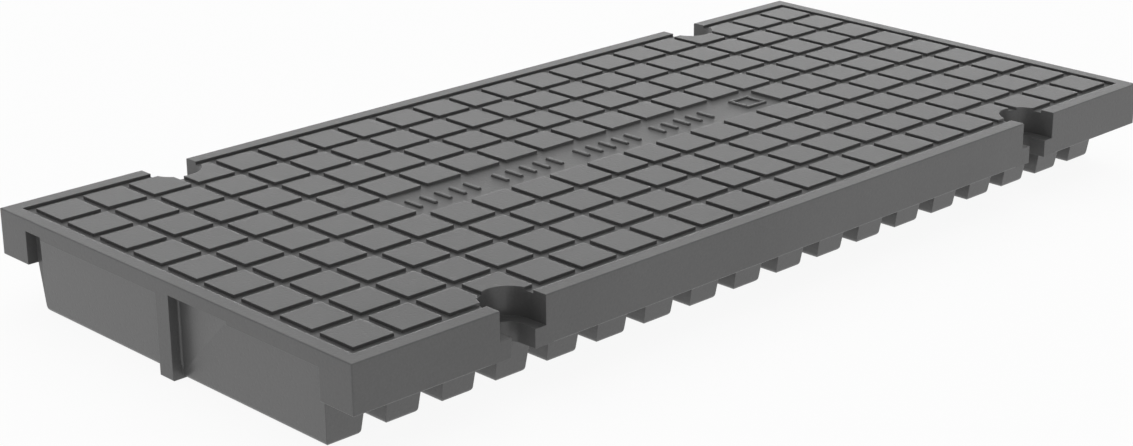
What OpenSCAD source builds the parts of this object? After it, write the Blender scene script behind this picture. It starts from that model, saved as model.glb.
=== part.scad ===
// Drainage channel cover: one iron casting with a raised square pad pattern on top,
// solid side rails, cross ribs below and four counterbored notches for locking bolts.
// Millimetres. The origin is at the centre of the base, +Z points up and X runs along the length.

/* [Overall size] */
// Length of the cover along the channel
cover_l = 500; // [470:1:540]
// Width of the cover across the channel
cover_w = 236; // [220:1:260]
// Height from the rib undersides to the pad tops
cover_h = 42; // [36:0.5:56]
// Radius on the outer top and corner edges
edge_r = 0.5; // [0.3:0.1:1.5]

/* [Raised top pattern] */
// Columns of pads along the length, an odd number
pads_x = 21; // [17:2:23]
// Rows of pads across the width, an odd number
pads_y = 9; // [7:2:11]
// Height of the pads and the rim above the grooves
pad_h = 1.4; // [0.8:0.1:3]
// Groove between two pads along the length
groove_x = 3.9; // [2.5:0.1:6]
// Groove between two pads across the width
groove_y = 4.7; // [2.5:0.1:7]
// Width of the raised rim at the two ends
rim_end = 6.5; // [4:0.5:10]
// Width of the raised rim along the two sides
rim_side = 7.2; // [4:0.1:10]
// How much shorter the middle column of pads is
mid_short = 2; // [0:0.5:4]

/* [Marking field] */
// First column of the middle row that is left free of pads
field_from = 5; // [1:1:10]
// Number of columns left free for the marking field
field_n = 10; // [2:1:12]

/* [Deck and side rails] */
// Thickness of the plate, measured down from the pad tops
plate_t = 7; // [6:0.5:10]
// Thickness of the band along the two ends, from the pad tops
band_t = 5.5; // [4.5:0.5:6]
// Height of the side rails, measured down from the pad tops
rail_h = 20.8; // [18:0.1:26]
// Width of a side rail
rail_w = 19.4; // [14:0.2:26]
// Radius on the lower edges of the rails
rail_r = 0.6; // [0.3:0.1:2]

/* [Cross ribs] */
// Number of cross ribs
ribs = 18; // [12:1:20]
// Thickness of a rib at its bottom
rib_t = 16; // [10:0.5:18]
// Distance from the end of the cover to the bottom of the first rib
rib_in = 5.3; // [5.1:0.1:10]
// Draft angle of the rib faces
rib_draft = 2.5; // [0.5:0.5:4]
// Slope angle of the rib ends
rib_slope = 10.8; // [4:0.1:14]
// Radius on the long bottom edges of the ribs
rib_r = 2.2; // [1:0.1:3]
// Radius on the bottom edges at the rib ends
rib_end_r = 2; // [0.5:0.1:3]
// Radius at the roots of the ribs
root_r = 2.5; // [1:0.5:4]

/* [End faces] */
// Width of the lug in the middle of each end
lug_w = 8.8; // [5:0.2:14]
// Depth of the two pockets in each end
pocket_d = 4.9; // [2:0.1:5]
// Length of the pocket beside the rail, its sloping part included
pocket_rail_l = 14; // [10:0.2:40]
// Straight part of the pocket beside the rail
pocket_flat = 6.4; // [4:0.2:9]
// Radius in the inner corner of the pocket beside the rail
pocket_r = 2.5; // [0.5:0.1:4]
// Radius at the foot of the lug
lug_r = 0.9; // [0.3:0.1:2]
// Width of the leg that stays outside the pocket beside the rail
leg_w = 16.6; // [12:0.2:22]
// Length of the pocket beside the lug
pocket_lug_l = 38.3; // [20:0.1:60]

/* [Bolt notches] */
// Distance of a notch's centre from the nearer end of the cover
notch_x = 83; // [76:0.5:88]
// Distance of a notch's centre from the side face
notch_y = 8.4; // [6:0.1:12]
// Radius of the upper pocket of a notch
notch_r = 12; // [10:0.25:13]
// Depth of the upper pocket from the pad tops
notch_d = 12.5; // [9:0.5:15]
// Radius of the through slot below the pocket
slot_r = 6.2; // [5:0.1:8]
// Wall left around a notch below the plate
notch_wall = 4; // [3:0.5:6]

/* [Hidden] */
$fn = 48;
arc_n = 4;
eps = 0.02;
over = 4;
half_l = cover_l / 2;
half_w = cover_w / 2;
pad_l = (cover_l - 2 * rim_end - (pads_x + 1) * groove_x + mid_short) / pads_x;
pad_w = (cover_w - 2 * rim_side - (pads_y + 1) * groove_y) / pads_y;
mid_col = (pads_x - 1) / 2;
mid_row = (pads_y - 1) / 2;
groove_z = cover_h - pad_h;
plate_z = cover_h - plate_t;
band_z = cover_h - band_t;
rail_z = cover_h - rail_h;
rib_pitch = (cover_l - 2 * rib_in - rib_t) / (ribs - 1);
rib_grow = tan(rib_draft);
end_grow = tan(rib_slope);
iron = [0.27, 0.27, 0.28];

// Left edge of a pad column, measured from the middle of the cover
function pad_x(i) = -half_l + rim_end + groove_x + i * (pad_l + groove_x) - (i > mid_col ? mid_short : 0);
// Length of a pad in a column
function pad_len(i) = i == mid_col ? pad_l - mid_short : pad_l;
// Near edge of a pad row
function pad_y(j) = -half_w + rim_side + groove_y + j * (pad_w + groove_y);
// True where a pad is left out for the marking field
function in_field(i, j) = j == mid_row && i >= field_from && i < field_from + field_n;

// Direction of a line between two points
function along(a, b) = (b - a) / norm(b - a);
// Angle of a direction in its plane
function turn(v) = atan2(v[1], v[0]);
// Half the inner angle at a corner
function half_angle(p, c, n) = acos(along(c, p) * along(c, n)) / 2;
// Points of the arc that rounds a corner, in the order of the outline
function arc(p, c, n, r) =
    let (h = half_angle(p, c, n),
         m = c + along([0, 0], along(c, p) + along(c, n)) * r / sin(h),
         a = turn(c + along(c, p) * r / tan(h) - m),
         b = turn(c + along(c, n) * r / tan(h) - m),
         sweep = b - a > 180 ? b - a - 360 : b - a < -180 ? b - a + 360 : b - a)
    [for (k = [0 : arc_n]) m + r * [cos(a + sweep * k / arc_n), sin(a + sweep * k / arc_n)]];

// Outline whose corners are each rounded by their own radius
module rounded(pts, rad)
{
    n = len(pts);
    polygon([
        for (i = [0 : n - 1])
            each rad[i] > 0 ? arc(pts[(i + n - 1) % n], pts[i], pts[(i + 1) % n], rad[i]) : [pts[i]]
    ]);
}

// A section drawn in X and Z, stretched along Y
module across(w)
{
    rotate([90, 0, 0])
        linear_extrude(height = w, center = true)
            children();
}

// A section drawn in Y and Z, stretched along X
module lengthwise(l)
{
    rotate([90, 0, 90])
        linear_extrude(height = l, center = true)
            children();
}

// The same feature on both ends, turned half a turn about the vertical
module both_ends()
{
    children();
    rotate([0, 0, 180])
        children();
}

// Corner-rounded block that trims the whole casting
module envelope()
{
    intersection()
    {
        across(cover_w + 2 * over)
            rounded([[-half_l, -over], [half_l, -over], [half_l, cover_h], [-half_l, cover_h]],
                    [0, 0, edge_r, edge_r]);
        lengthwise(cover_l + 2 * over)
            rounded([[-half_w, -over], [half_w, -over], [half_w, cover_h], [-half_w, cover_h]],
                    [0, 0, edge_r, edge_r]);
        translate([0, 0, -over])
            linear_extrude(height = cover_h + 2 * over)
                rounded([[-half_l, -half_w], [half_l, -half_w], [half_l, half_w], [-half_l, half_w]],
                        [edge_r, edge_r, edge_r, edge_r]);
    }
}

// Plate under the grooves
module deck()
{
    translate([-half_l, -half_w, plate_z])
        cube([cover_l, cover_w, groove_z - plate_z]);
}

// Raised rim with the square pads inside it
module raised_pattern()
{
    translate([0, 0, groove_z - 1])
        linear_extrude(height = pad_h + 1)
        {
            difference()
            {
                square([cover_l, cover_w], center = true);
                square([cover_l - 2 * rim_end, cover_w - 2 * rim_side], center = true);
            }
            for (i = [0 : pads_x - 1], j = [0 : pads_y - 1])
                if (!in_field(i, j))
                    translate([pad_x(i), pad_y(j)])
                        square([pad_len(i), pad_w]);
        }
}

// Solid rails along the two sides
module side_rails()
{
    intersection()
    {
        lengthwise(cover_l)
            for (s = [-1, 1])
                rounded([[s * half_w, rail_z], [s * (half_w - rail_w), rail_z],
                         [s * (half_w - rail_w), groove_z - eps], [s * half_w, groove_z - eps]],
                        [rail_r, rail_r, 0, 0]);
        across(cover_w)
            rounded([[-half_l, rail_z], [half_l, rail_z], [half_l, groove_z], [-half_l, groove_z]],
                    [rail_r, rail_r, 0, 0]);
    }
}

// Outer bottom edge of a rib, measured from the middle of the cover
function rib_x(k) = -half_l + rib_in + k * rib_pitch;

// Section of all the ribs in X and Z with the fillets under the plate
module rib_section()
{
    top = (band_z + groove_z) / 2;
    g = rib_grow * plate_z;
    corners = [
        [-half_l, band_z, 0],
        for (k = [0 : ribs - 1])
            each [
                if (k > 0) [rib_x(k) - g, plate_z, root_r],
                [rib_x(k), 0, rib_r],
                [rib_x(k) + rib_t, 0, rib_r],
                if (k < ribs - 1) [rib_x(k) + rib_t + g, plate_z, root_r]
            ],
        [half_l, band_z, 0],
        [half_l, top, 0],
        [-half_l, top, 0]
    ];
    rounded([for (c = corners) [c[0], c[1]]], [for (c = corners) c[2]]);
}

// Section of the ribs in Y and Z with their sloping ends
module rib_profile()
{
    y0 = half_w - rail_w;
    rounded([[-y0 + rail_z * end_grow, 0], [y0 - rail_z * end_grow, 0],
             [y0, rail_z], [y0, groove_z - eps], [-y0, groove_z - eps], [-y0, rail_z]],
            [rib_end_r, rib_end_r, 0, 0, 0, 0]);
}

// Cross ribs, the two end ones leaning out to the end band
module cross_ribs()
{
    intersection()
    {
        across(cover_w)
            rib_section();
        lengthwise(cover_l)
            rib_profile();
    }
}

// Pockets beside the leg and beside the lug of one end, open at the bottom
module end_pockets()
{
    y_leg = half_w - leg_w;
    y_lug = -lug_w / 2;
    translate([-half_l, 0, -over])
        linear_extrude(height = band_z + over)
        {
            rounded([[-over, y_leg], [pocket_d, y_leg], [pocket_d, y_leg - pocket_flat],
                     [0, y_leg - pocket_rail_l], [-over, y_leg - pocket_rail_l]],
                    [0, pocket_r, 0, 0, 0]);
            rounded([[-over, y_lug], [pocket_d, y_lug], [0, y_lug - pocket_lug_l],
                     [-over, y_lug - pocket_lug_l]],
                    [0, lug_r, 0, 0]);
        }
}

// Upright lug in the middle of one end
module end_lug()
{
    translate([-half_l, 0, 0])
        across(lug_w)
            rounded([[0, 0], [rib_in + rib_r + 1, 0], [rib_in + rib_r + 1, band_z + 1], [0, band_z + 1]],
                    [edge_r, 0, 0, 0]);
}

// Outline of a notch, round inside and open to the side of the cover
module notch_outline(r)
{
    circle(r = r);
    translate([-r, -notch_y - over])
        square([2 * r, notch_y + over]);
}

// Wall around a notch below the plate
module notch_boss()
{
    r = notch_r + notch_wall;
    translate([notch_x - half_l, notch_y - half_w, rail_z])
        linear_extrude(height = groove_z - rail_z - eps)
            intersection()
            {
                notch_outline(r);
                translate([-r, -notch_y])
                    square([2 * r, notch_y + r]);
            }
}

// Counterbored notch for one locking bolt
module notch_cut()
{
    translate([notch_x - half_l, notch_y - half_w, 0])
    {
        translate([0, 0, cover_h - notch_d])
            linear_extrude(height = notch_d + over)
                notch_outline(notch_r);
        translate([0, 0, -over])
            linear_extrude(height = cover_h)
                notch_outline(slot_r);
    }
}

// The same feature at the four notch places
module four_places()
{
    for (a = [0, 1], b = [0, 1])
        mirror([a, 0, 0])
            mirror([0, b, 0])
                children();
}

module cover()
{
    color(iron)
        difference()
        {
            intersection()
            {
                union()
                {
                    raised_pattern();
                    side_rails();
                    difference()
                    {
                        union()
                        {
                            deck();
                            cross_ribs();
                        }
                        both_ends()
                            end_pockets();
                    }
                    both_ends()
                        end_lug();
                    four_places()
                        notch_boss();
                }
                envelope();
            }
            four_places()
                notch_cut();
        }
}

cover();
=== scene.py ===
import math

import bmesh
import bpy
from mathutils import Matrix


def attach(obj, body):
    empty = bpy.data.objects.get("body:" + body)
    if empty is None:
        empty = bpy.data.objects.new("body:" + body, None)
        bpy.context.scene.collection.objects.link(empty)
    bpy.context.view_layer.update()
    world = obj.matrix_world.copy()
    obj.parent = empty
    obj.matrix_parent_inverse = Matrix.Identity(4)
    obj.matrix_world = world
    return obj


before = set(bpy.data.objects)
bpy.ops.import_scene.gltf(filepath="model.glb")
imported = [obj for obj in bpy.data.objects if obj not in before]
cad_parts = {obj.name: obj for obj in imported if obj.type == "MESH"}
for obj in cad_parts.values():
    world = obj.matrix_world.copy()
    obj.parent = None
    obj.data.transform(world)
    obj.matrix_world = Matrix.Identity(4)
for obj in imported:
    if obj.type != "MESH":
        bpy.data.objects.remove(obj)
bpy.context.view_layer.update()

MM = 0.001

# Sizes of the cover that the plain bars on it need, in millimetres, as in the CAD model
COVER_L, COVER_H = 500.0, 42.0
PAD_L, PAD_H = 19.2, 1.4
RIM_END, GROOVE_X, MID_SHORT = 6.5, 3.9, 2.0
FIELD_FROM, FIELD_N = 5, 10

# Plain bars on the free field, in millimetres: every sixth place stays empty
BAR_PLACES, BAR_GROUP = 23, 6
BAR_START, BAR_STEP = 3.0, 8.3
BAR_W, BAR_L, BAR_H = 2.2, 10.6, 1.1

# Empty square frame on the last place of the field, in millimetres: its side and its bars' width
FRAME_L, FRAME_W = 13.6, 2.0

# How bars and frame are cast, in millimetres: set into the plate, narrower at the top, soft edges
BAR_SINK, BAR_DRAFT, BAR_SOFT = 0.1, 0.5, 0.25

# Sizes of the casting's surface pattern, in millimetres: the sand grain is drawn coarser than the
# real 0.3 mm, or it would not show
CLOUD_MM, PIT_MM, GRAIN_MM = 62.5, 2.4, 1.1

# Coating: its darkest and palest patches, how far the grain darkens and lightens them, and the
# smoothest and roughest patches
COAT_DARK, COAT_PALE = "545454", "5b5b5b"
GRAIN_DARK, GRAIN_PALE = 0.93, 1.05
COAT_SMOOTH, COAT_ROUGH = 0.30, 0.38
COAT_IOR = 1.5

# Softened edges and the depth of grain and dents, in millimetres, with the share that shows
EDGE_R, GRAIN_DEPTH, DENT_DEPTH = 0.4, 0.2, 0.4
GRAIN_SHARE, DENT_SHARE = 0.22, 0.10

# Floor: from its middle to its side and below the cover, in metres, the light that it throws back
# up, and the share of its look that can fall into shadow
FLOOR_HALF, FLOOR_BELOW = 12.0, 0.0005
FLOOR_LIGHT = 0.80
SHADOW_SHARE = 0.08

# Light of the studio: the way to the screen behind the cover, and how the screen takes over from
# the room as one looks that way
SCREEN_WAY = (0.7071, 0.7071, 0.0)
SCREEN_FROM, SCREEN_FULL = 0.2, 0.7
# Greys from the horizon (0) to straight above (1), and their strength
SCREEN_GREYS = [(0.0, 1.0), (0.2, 0.1), (0.4, 0.06), (0.7, 0.37), (1.0, 0.37)]
ROOM_GREYS = [(0.0, 0.3), (0.3, 0.03), (0.7, 0.04), (1.0, 0.2)]
STUDIO_STRENGTH = 6.0

# Camera of the photograph, found from the corners of the top and of the pads, in millimetres for
# lens and sensor, metres for its place and degrees for its turn
LENS_MM, SENSOR_MM = 73.22, 36.0
SHIFT_X, SHIFT_Y = -0.0428, -0.0002
CLIP_NEAR, CLIP_FAR = 0.01, 50.0
CAMERA_PLACE = (-0.7155, -0.7164, 0.3666)
CAMERA_TURN = (70.18, 0.0, -44.97)


def lin(code):
    """A hex sRGB colour as linear numbers with alpha."""
    out = []
    for k in (0, 2, 4):
        c = int(code[k:k + 2], 16) / 255
        out.append(c / 12.92 if c <= 0.04045 else ((c + 0.055) / 1.055) ** 2.4)
    return (*out, 1.0)


def greys(stops):
    """Positions and plain levels as positions and colours, for a colour ramp."""
    return [(position, (level, level, level, 1.0)) for position, level in stops]


def node(tree, kind, inputs=None, stops=(), **settings):
    """One shader node with its settings, a ramp's stops, and inputs given as values or sockets."""
    n = tree.nodes.new(kind)
    for name, value in settings.items():
        setattr(n, name, value)
    for name, value in (inputs or {}).items():
        if isinstance(value, bpy.types.NodeSocket):
            tree.links.new(value, n.inputs[name])
        else:
            n.inputs[name].default_value = value
    while stops and len(n.color_ramp.elements) < len(stops):
        n.color_ramp.elements.new(0.5)
    for k, (position, colour) in enumerate(stops):
        n.color_ramp.elements[k].position = position
        n.color_ramp.elements[k].color = colour
    return n


def empty_tree(owner):
    """The node tree of a new material or world, with no nodes in it."""
    owner.use_nodes = True
    owner.node_tree.nodes.clear()
    return owner.node_tree


def piece(name, bm, mat):
    """An object made from a bmesh, in one material."""
    mesh = bpy.data.meshes.new(name)
    bm.to_mesh(mesh)
    bm.free()
    mesh.materials.append(mat)
    obj = bpy.data.objects.new(name, mesh)
    bpy.context.collection.objects.link(obj)
    return obj


def coated_cast_iron():
    """Dark grey dip coating over sand-cast iron: satin, with a fine sand grain, shallow dents and
    faint cloudy patches."""
    mat = bpy.data.materials.new("coated_cast_iron")
    tree = empty_tree(mat)
    place = node(tree, "ShaderNodeTexCoord").outputs["Object"]
    clouds = node(tree, "ShaderNodeTexNoise", {
        "Vector": place, "Scale": 1000 / CLOUD_MM, "Detail": 4.0, "Roughness": 0.55}).outputs["Fac"]
    grain = node(tree, "ShaderNodeTexNoise", {
        "Vector": place, "Scale": 1000 / GRAIN_MM, "Detail": 3.0, "Roughness": 0.6}).outputs["Fac"]
    pits = node(tree, "ShaderNodeTexVoronoi", {
        "Vector": place, "Scale": 1000 / PIT_MM, "Randomness": 1.0}).outputs["Distance"]
    tone = node(tree, "ShaderNodeValToRGB", {"Fac": clouds},
                stops=[(0.3, lin(COAT_DARK)), (0.7, lin(COAT_PALE))]).outputs["Color"]
    speck = node(tree, "ShaderNodeValToRGB", {"Fac": grain},
                 stops=greys([(0.3, GRAIN_DARK), (0.7, GRAIN_PALE)])).outputs["Color"]
    colour = node(tree, "ShaderNodeMix", {"Factor": 1.0, "A": tone, "B": speck},
                  data_type="RGBA", blend_type="MULTIPLY").outputs["Result"]
    rough = node(tree, "ShaderNodeMapRange", {
        "Value": clouds, "From Min": 0.3, "From Max": 0.7,
        "To Min": COAT_SMOOTH, "To Max": COAT_ROUGH}).outputs["Result"]
    dents = node(tree, "ShaderNodeMapRange", {
        "Value": pits, "From Min": 0.0, "From Max": 0.35,
        "To Min": 0.0, "To Max": 1.0}).outputs["Result"]
    soft = node(tree, "ShaderNodeBevel", {"Radius": EDGE_R * MM}, samples=6).outputs["Normal"]
    fine = node(tree, "ShaderNodeBump", {
        "Strength": GRAIN_SHARE, "Distance": GRAIN_DEPTH * MM,
        "Height": grain, "Normal": soft}).outputs["Normal"]
    coarse = node(tree, "ShaderNodeBump", {
        "Strength": DENT_SHARE, "Distance": DENT_DEPTH * MM,
        "Height": dents, "Normal": fine}).outputs["Normal"]
    shader = node(tree, "ShaderNodeBsdfPrincipled", {
        "Base Color": colour, "Roughness": rough, "Normal": coarse,
        "Metallic": 0.0, "IOR": COAT_IOR}).outputs["BSDF"]
    node(tree, "ShaderNodeOutputMaterial", {"Surface": shader})
    return mat


def plain_mark_bars(mat):
    """Low plain bars and an empty square frame, cast on the free field of the middle row."""
    bm = bmesh.new()
    floor_z = (COVER_H - PAD_H) * MM

    def bar(x, y, w, d):
        h = BAR_H * MM
        made = bmesh.ops.create_cube(bm, size=1.0)["verts"]
        bmesh.ops.scale(bm, vec=(w, d, h), verts=made)
        bmesh.ops.translate(bm, vec=(x, y, floor_z + h / 2 - BAR_SINK * MM), verts=made)
        top = [v for v in made if v.co.z > floor_z]
        bmesh.ops.scale(bm, vec=((w - BAR_DRAFT * MM) / w, (d - BAR_DRAFT * MM) / d, 1.0),
                        space=Matrix.Translation((-x, -y, 0.0)), verts=top)

    field_x = -COVER_L / 2 + RIM_END + GROOVE_X + FIELD_FROM * (PAD_L + GROOVE_X)
    for k in range(BAR_PLACES):
        if k % BAR_GROUP != BAR_GROUP - 1:
            bar((field_x + BAR_START + k * BAR_STEP) * MM, 0.0, BAR_W * MM, BAR_L * MM)
    frame_x = (field_x + (FIELD_N - 1) * (PAD_L + GROOVE_X) - MID_SHORT + PAD_L / 2) * MM
    s, t = FRAME_L * MM, FRAME_W * MM
    for side in (-1, 1):
        bar(frame_x, side * (s - t) / 2, s, t)
        bar(frame_x + side * (s - t) / 2, 0.0, t, s - 2 * t)
    obj = piece("mark_bars", bm, mat)
    soft = obj.modifiers.new("soft_edges", "BEVEL")
    soft.width = BAR_SOFT * MM
    soft.segments = 2
    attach(obj, "root")


def pale_floor():
    """A plain white floor that glows softly, throws light back up and keeps a faint shadow."""
    mat = bpy.data.materials.new("white_studio_floor")
    tree = empty_tree(mat)
    white = node(tree, "ShaderNodeEmission", {"Color": lin("ffffff"), "Strength": 1.0})
    matt = node(tree, "ShaderNodeBsdfDiffuse", {"Color": lin("fafafa")})
    seen = node(tree, "ShaderNodeMixShader", {
        0: SHADOW_SHARE, 1: white.outputs[0], 2: matt.outputs[0]})
    light = node(tree, "ShaderNodeEmission", {"Color": lin("ffffff"), "Strength": FLOOR_LIGHT})
    path = node(tree, "ShaderNodeLightPath")
    shown = node(tree, "ShaderNodeMath", {
        0: path.outputs["Is Camera Ray"], 1: path.outputs["Is Glossy Ray"]}, operation="MAXIMUM")
    both = node(tree, "ShaderNodeMixShader", {
        0: shown.outputs[0], 1: light.outputs[0], 2: seen.outputs[0]})
    node(tree, "ShaderNodeOutputMaterial", {"Surface": both.outputs[0]})
    bm = bmesh.new()
    bmesh.ops.create_grid(bm, x_segments=1, y_segments=1, size=FLOOR_HALF)
    obj = piece("studio_floor", bm, mat)
    obj.location = (0, 0, -FLOOR_BELOW)


def studio_world():
    """A bright low screen behind the cover, a soft panel high above it and a dim room in front."""
    world = bpy.data.worlds.new("studio")
    bpy.context.scene.world = world
    tree = empty_tree(world)
    way = node(tree, "ShaderNodeTexCoord").outputs["Generated"]
    up = node(tree, "ShaderNodeSeparateXYZ", {"Vector": way}).outputs["Z"]
    back = node(tree, "ShaderNodeVectorMath", {0: way, 1: SCREEN_WAY},
                operation="DOT_PRODUCT").outputs["Value"]
    screen = node(tree, "ShaderNodeValToRGB", {"Fac": up},
                  stops=greys(SCREEN_GREYS)).outputs["Color"]
    room = node(tree, "ShaderNodeValToRGB", {"Fac": up},
                stops=greys(ROOM_GREYS)).outputs["Color"]
    side = node(tree, "ShaderNodeValToRGB", {"Fac": back},
                stops=greys([(SCREEN_FROM, 0.0), (SCREEN_FULL, 1.0)])).outputs["Color"]
    sky = node(tree, "ShaderNodeMix", {"Factor": side, "A": room, "B": screen},
               data_type="RGBA").outputs["Result"]
    light = node(tree, "ShaderNodeBackground", {"Color": sky, "Strength": STUDIO_STRENGTH})
    white = node(tree, "ShaderNodeBackground", {"Color": lin("fdfdfd"), "Strength": 1.0})
    path = node(tree, "ShaderNodeLightPath")
    both = node(tree, "ShaderNodeMixShader", {
        0: path.outputs["Is Camera Ray"], 1: light.outputs[0], 2: white.outputs[0]})
    node(tree, "ShaderNodeOutputWorld", {"Surface": both.outputs[0]})


def photo_camera():
    """The photograph's camera."""
    data = bpy.data.cameras.new("photo_camera")
    data.sensor_fit = "HORIZONTAL"
    data.sensor_width = SENSOR_MM
    data.lens = LENS_MM
    data.shift_x = SHIFT_X
    data.shift_y = SHIFT_Y
    data.clip_start = CLIP_NEAR
    data.clip_end = CLIP_FAR
    obj = bpy.data.objects.new("photo_camera", data)
    obj.location = CAMERA_PLACE
    obj.rotation_euler = [math.radians(angle) for angle in CAMERA_TURN]
    bpy.context.collection.objects.link(obj)
    bpy.context.scene.camera = obj


iron = coated_cast_iron()
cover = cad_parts["cover"]
for index in range(len(cover.material_slots)):
    cover.material_slots[index].material = iron
plain_mark_bars(iron)
pale_floor()
studio_world()
photo_camera()
bpy.context.scene.view_settings.view_transform = "Standard"
